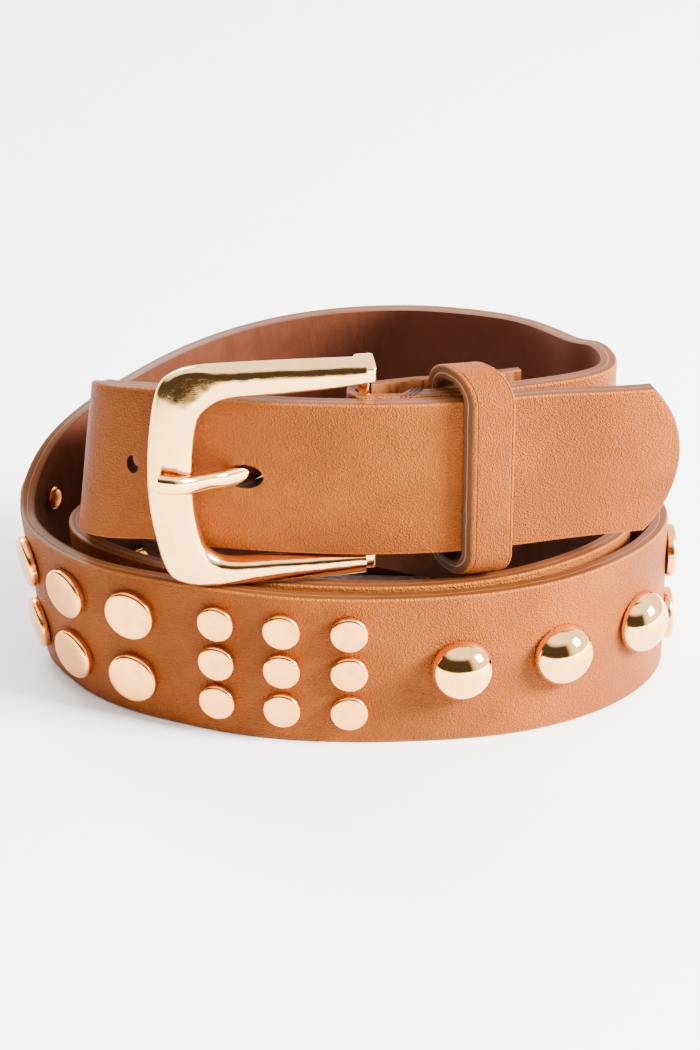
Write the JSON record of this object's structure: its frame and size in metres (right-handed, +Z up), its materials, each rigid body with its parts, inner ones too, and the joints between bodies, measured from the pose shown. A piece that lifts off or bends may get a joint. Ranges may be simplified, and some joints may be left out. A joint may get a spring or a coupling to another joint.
{
  "type": "studded belt",
  "caption": "Tan leather belt with a lining, flat and domed studs, a plain frame buckle and a leather keeper, buckled and coiled on its edge.",
  "frame": {"origin": "middle of the coil's outline, on the plane the strap's lower edge stands on", "axes": "+Z up, the buckle faces -Y and the tip points to +X"},
  "size_m": [0.1458, 0.0884, 0.0865],
  "materials": {
    "tan_leather": "pebbled, soft sheen",
    "brown_lining": "smooth, matt",
    "pale_gold": "polished plating",
    "rose_gold": "polished plating"
  },
  "bodies": {
    "root": {"strap_face": "tan_leather", "strap_lining": "brown_lining", "keeper": "tan_leather", "buckle_frame": "pale_gold", "buckle_prong": "pale_gold", "big_stud_01": "rose_gold", "big_stud_02": "rose_gold", "big_stud_03": "rose_gold", "big_stud_04": "rose_gold", "big_stud_05": "rose_gold", "big_stud_06": "rose_gold", "big_stud_07": "rose_gold", "big_stud_08": "rose_gold", "big_stud_09": "rose_gold", "big_stud_10": "rose_gold", "big_stud_11": "rose_gold", "big_stud_12": "rose_gold", "big_stud_13": "rose_gold", "big_stud_14": "rose_gold", "big_stud_15": "rose_gold", "big_stud_16": "rose_gold", "small_stud_01": "rose_gold", "small_stud_02": "rose_gold", "small_stud_03": "rose_gold", "small_stud_04": "rose_gold", "small_stud_05": "rose_gold", "small_stud_06": "rose_gold", "small_stud_07": "rose_gold", "small_stud_08": "rose_gold", "small_stud_09": "rose_gold", "small_stud_10": "rose_gold", "small_stud_11": "rose_gold", "small_stud_12": "rose_gold", "small_stud_13": "rose_gold", "small_stud_14": "rose_gold", "small_stud_15": "rose_gold", "small_stud_16": "rose_gold", "small_stud_17": "rose_gold", "small_stud_18": "rose_gold", "dome_stud_01": "rose_gold", "dome_stud_02": "rose_gold", "dome_stud_03": "rose_gold", "dome_stud_04": "rose_gold", "dome_stud_05": "rose_gold"}
  },
  "joints": []
}
